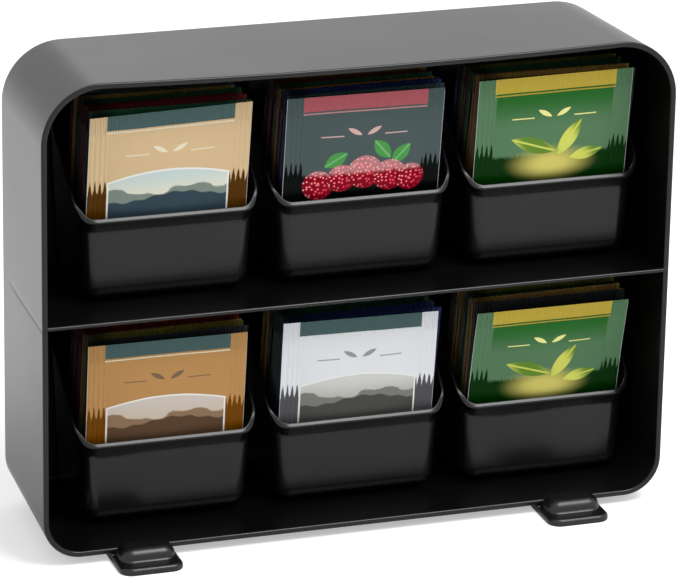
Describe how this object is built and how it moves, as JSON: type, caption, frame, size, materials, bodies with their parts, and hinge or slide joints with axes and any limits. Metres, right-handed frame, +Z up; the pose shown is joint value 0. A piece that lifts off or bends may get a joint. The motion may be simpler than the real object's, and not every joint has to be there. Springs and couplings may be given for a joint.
{
  "type": "tea bag organizer box",
  "caption": "Open-fronted rounded case on two feet, with a shelf and scoop-fronted pull-out drawers full of wrapped tea bags.",
  "frame": {"origin": "middle of the whole object's footprint, on the surface that the feet stand on", "axes": "+Z up, the open front faces -Y, +X to the right seen from the front"},
  "size_m": [0.3, 0.1014, 0.2273],
  "materials": {
    "case_plastic": "satin black moulded plastic",
    "drawer_plastic": "satin black moulded plastic",
    "foot_plastic": "semi-gloss black moulded plastic",
    "gold_wrapper": "printed foil wrapper with crimped edges",
    "slate_wrapper": "printed foil wrapper with crimped edges",
    "green_wrapper": "printed foil wrapper with crimped edges",
    "amber_wrapper": "printed foil wrapper with crimped edges",
    "silver_wrapper": "printed foil wrapper with crimped edges",
    "row_wrappers": "foil wrappers in several colours with crimped edges"
  },
  "bodies": {
    "case": {"case": "case_plastic", "left_foot": "foot_plastic", "right_foot": "foot_plastic"},
    "upper_left": {"upper_left_drawer": "drawer_plastic", "upper_left_front_bag": "gold_wrapper", "upper_left_bag_row": "row_wrappers"},
    "upper_middle": {"upper_middle_drawer": "drawer_plastic", "upper_middle_front_bag": "slate_wrapper", "upper_middle_bag_row": "row_wrappers"},
    "upper_right": {"upper_right_drawer": "drawer_plastic", "upper_right_front_bag": "green_wrapper", "upper_right_bag_row": "row_wrappers"},
    "lower_left": {"lower_left_drawer": "drawer_plastic", "lower_left_front_bag": "amber_wrapper", "lower_left_bag_row": "row_wrappers"},
    "lower_middle": {"lower_middle_drawer": "drawer_plastic", "lower_middle_front_bag": "silver_wrapper", "lower_middle_bag_row": "row_wrappers"},
    "lower_right": {"lower_right_drawer": "drawer_plastic", "lower_right_front_bag": "green_wrapper", "lower_right_bag_row": "row_wrappers"}
  },
  "joints": [
    {"name": "upper_left_pull", "type": "slide", "parent": "case", "child": "upper_left", "axis": [0, -1, 0], "range_m": [0, 0.084]},
    {"name": "upper_middle_pull", "type": "slide", "parent": "case", "child": "upper_middle", "axis": [0, -1, 0], "range_m": [0, 0.084]},
    {"name": "upper_right_pull", "type": "slide", "parent": "case", "child": "upper_right", "axis": [0, -1, 0], "range_m": [0, 0.084]},
    {"name": "lower_left_pull", "type": "slide", "parent": "case", "child": "lower_left", "axis": [0, -1, 0], "range_m": [0, 0.084]},
    {"name": "lower_middle_pull", "type": "slide", "parent": "case", "child": "lower_middle", "axis": [0, -1, 0], "range_m": [0, 0.084]},
    {"name": "lower_right_pull", "type": "slide", "parent": "case", "child": "lower_right", "axis": [0, -1, 0], "range_m": [0, 0.084]}
  ]
}
